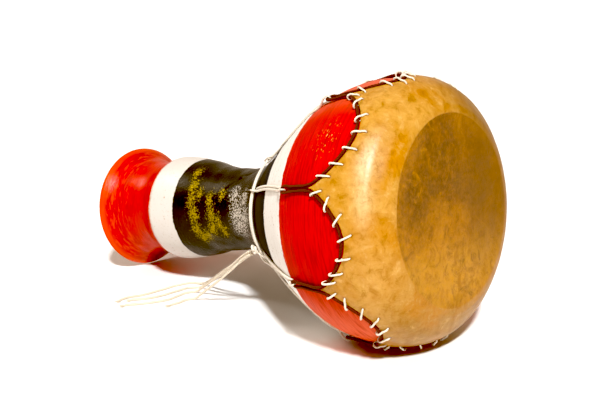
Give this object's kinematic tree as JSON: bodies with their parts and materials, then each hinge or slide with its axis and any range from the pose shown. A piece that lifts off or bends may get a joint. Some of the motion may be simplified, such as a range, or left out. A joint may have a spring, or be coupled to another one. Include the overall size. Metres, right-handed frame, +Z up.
{
  "type": "clay goblet drum",
  "caption": "Hand-painted clay goblet drum on its side, with a laced hide head, string lacing down to a neck ring, and a loose string tail.",
  "frame": {"origin": "on the floor under the middle of the drum's box, as the drum lies on its side", "axes": "+X along the drum from its foot towards its mouth, level with the floor; +Z up; the drum's own axis rises 8.4 degrees towards the mouth"},
  "size_m": [0.359, 0.2055, 0.2049],
  "materials": {
    "painted_clay": "hand-painted gloss in red, white, black and blue-grey bands",
    "goat_hide": "smooth mottled translucent rawhide",
    "dark_binder_cord": "matt dark reddish-brown twisted cord",
    "stitch_string": "matt twisted white cotton",
    "tension_string": "matt twisted white cotton",
    "ring_string": "matt twisted white cotton",
    "knot_string": "matt twisted white cotton",
    "tail_string": "matt twisted white cotton"
  },
  "bodies": {
    "root": {"clay_shell": "painted_clay", "hide_head": "goat_hide", "edge_binder": "dark_binder_cord", "neck_ring": "ring_string", "ring_knot": "knot_string", "tension_string_1": "tension_string", "tension_string_2": "tension_string", "tension_string_3": "tension_string", "tension_string_4": "tension_string", "tension_string_5": "tension_string", "tension_string_6": "tension_string", "tension_string_7": "tension_string", "tension_string_8": "tension_string", "whip_stitch_1": "stitch_string", "whip_stitch_2": "stitch_string", "whip_stitch_3": "stitch_string", "whip_stitch_4": "stitch_string", "whip_stitch_5": "stitch_string", "whip_stitch_6": "stitch_string", "whip_stitch_7": "stitch_string", "whip_stitch_8": "stitch_string", "tail_strand_1": "tail_string", "tail_strand_2": "tail_string", "tail_strand_3": "tail_string", "tail_strand_4": "tail_string"}
  },
  "joints": []
}
